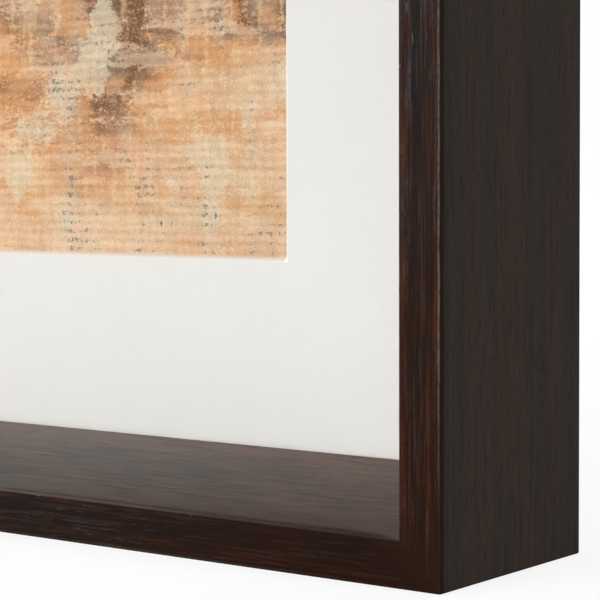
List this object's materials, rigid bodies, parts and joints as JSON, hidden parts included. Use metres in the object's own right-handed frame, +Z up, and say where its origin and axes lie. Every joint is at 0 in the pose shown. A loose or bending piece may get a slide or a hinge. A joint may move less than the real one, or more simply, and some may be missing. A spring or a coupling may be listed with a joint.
{
  "type": "deep box picture frame",
  "caption": "Deep box picture frame in dark stained wood with a canted inner face, glazing, a bevelled window mat, a print, a strainer, turn-buttons and D-ring hangers.",
  "frame": {"origin": "middle of the bottom rail's underside, halfway through the frame's depth", "axes": "+Z up, +X to the viewer's right, -Y out of the front towards the viewer"},
  "size_m": [0.4464, 0.0724, 0.548],
  "materials": {
    "stained_wood": "espresso stain, satin, open pores",
    "nail_steel": "bright steel",
    "glazing": "clear, low reflection",
    "mat_board": "warm white, eggshell",
    "print_paper": "printed paper with a canvas texture",
    "hinge_paper": "gummed paper tape",
    "mount_board": "white board",
    "foam_board": "white foam board",
    "pine": "planed, unfinished",
    "screw_steel": "zinc plated",
    "hardboard": "smooth face, matt",
    "button_steel": "zinc plated",
    "strap_steel": "nickel plated",
    "ring_steel": "nickel plated wire",
    "rubber_pad": "matt black"
  },
  "bodies": {
    "frame": {"frame_bottom_rail": "stained_wood", "frame_right_stile": "stained_wood", "frame_top_rail": "stained_wood", "frame_left_stile": "stained_wood", "corner_v_nails": "nail_steel", "glazing_sheet": "glazing", "window_mat": "mat_board", "art_print": "print_paper", "print_hinges": "hinge_paper", "mount_board": "mount_board", "backing_board": "foam_board", "strainer_top_bar": "pine", "strainer_bottom_bar": "pine", "strainer_left_bar": "pine", "strainer_right_bar": "pine", "strainer_v_nails": "nail_steel", "strainer_screws": "screw_steel", "back_panel": "hardboard", "turn_button_screws": "screw_steel", "hanger_strap_left": "strap_steel", "hanger_strap_right": "strap_steel", "hanger_screws": "screw_steel", "bumper_left": "rubber_pad", "bumper_right": "rubber_pad"},
    "turn_button_top": {"turn_button_top": "button_steel"},
    "turn_button_bottom": {"turn_button_bottom": "button_steel"},
    "turn_button_left_upper": {"turn_button_left_upper": "button_steel"},
    "turn_button_left_lower": {"turn_button_left_lower": "button_steel"},
    "turn_button_right_upper": {"turn_button_right_upper": "button_steel"},
    "turn_button_right_lower": {"turn_button_right_lower": "button_steel"},
    "hanger_ring_left": {"hanger_ring_left": "ring_steel"},
    "hanger_ring_right": {"hanger_ring_right": "ring_steel"}
  },
  "joints": [
    {"name": "turn_button_top_turn", "type": "hinge", "parent": "frame", "child": "turn_button_top", "pos_m": [0, 0.0347, 0.53875], "axis": [0, 1, 0], "continuous": true},
    {"name": "turn_button_bottom_turn", "type": "hinge", "parent": "frame", "child": "turn_button_bottom", "pos_m": [0, 0.0347, 0.00925], "axis": [0, 1, 0], "continuous": true},
    {"name": "turn_button_left_upper_turn", "type": "hinge", "parent": "frame", "child": "turn_button_left_upper", "pos_m": [-0.21395, 0.0347, 0.434], "axis": [0, 1, 0], "continuous": true},
    {"name": "turn_button_left_lower_turn", "type": "hinge", "parent": "frame", "child": "turn_button_left_lower", "pos_m": [-0.21395, 0.0347, 0.114], "axis": [0, 1, 0], "continuous": true},
    {"name": "turn_button_right_upper_turn", "type": "hinge", "parent": "frame", "child": "turn_button_right_upper", "pos_m": [0.21395, 0.0347, 0.434], "axis": [0, 1, 0], "continuous": true},
    {"name": "turn_button_right_lower_turn", "type": "hinge", "parent": "frame", "child": "turn_button_right_lower", "pos_m": [0.21395, 0.0347, 0.114], "axis": [0, 1, 0], "continuous": true},
    {"name": "hanger_ring_left_swing", "type": "hinge", "parent": "frame", "child": "hanger_ring_left", "pos_m": [-0.21395, 0.036, 0.383], "axis": [1, 0, 0], "range_deg": [0, 175]},
    {"name": "hanger_ring_right_swing", "type": "hinge", "parent": "frame", "child": "hanger_ring_right", "pos_m": [0.21395, 0.036, 0.383], "axis": [1, 0, 0], "range_deg": [0, 175]}
  ]
}
